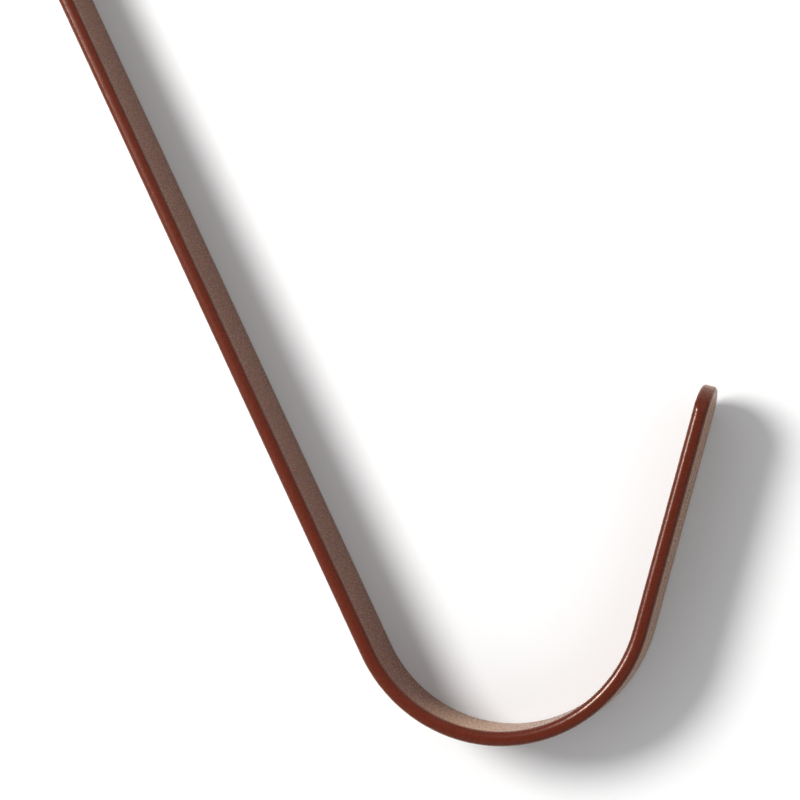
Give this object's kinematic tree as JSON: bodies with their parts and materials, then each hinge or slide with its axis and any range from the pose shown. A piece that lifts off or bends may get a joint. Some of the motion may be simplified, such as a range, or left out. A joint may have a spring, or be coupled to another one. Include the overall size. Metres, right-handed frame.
{
  "type": "hook and ring game",
  "caption": "Powder-coated flat-bar J hook with mounting flange, lag screws, a steel game ring on a swivel eye and a ceiling screw eye, laid out on its side",
  "frame": {"origin": "middle of the flange's post face, halfway between the two lag screws and halfway across the bar's width", "axes": "+X away from the post, towards the hook's tip; +Y up the post; +Z across the bar's width, which is up while the hook lies on its side"},
  "size_m": [0.1944, 0.2777, 0.02],
  "materials": {
    "powder_coat": "satin powder coat, fine texture",
    "zinc": "zinc plated, satin",
    "nickel": "nickel plated, polished"
  },
  "bodies": {
    "hook": {"hook_bar": "powder_coat", "washer_upper": "zinc", "washer_lower": "zinc", "lag_screw_upper": "zinc", "lag_screw_lower": "zinc"},
    "ring": {"game_ring": "nickel"},
    "swivel": {"swivel_eye": "nickel"},
    "ceiling_eye": {"ceiling_screw_eye": "zinc"}
  },
  "joints": [
    {"name": "ring_lift", "type": "slide", "parent": "hook", "child": "ring", "axis": [0, 0, 1], "range_m": [0, 0.1]},
    {"name": "swivel_turn", "type": "hinge", "parent": "ring", "child": "swivel", "pos_m": [0.0678, 0.0415, -0.0075], "axis": [0, 1, 0], "continuous": true},
    {"name": "ceiling_eye_lift", "type": "slide", "parent": "hook", "child": "ceiling_eye", "axis": [0, 0, 1], "range_m": [0, 0.1]}
  ]
}
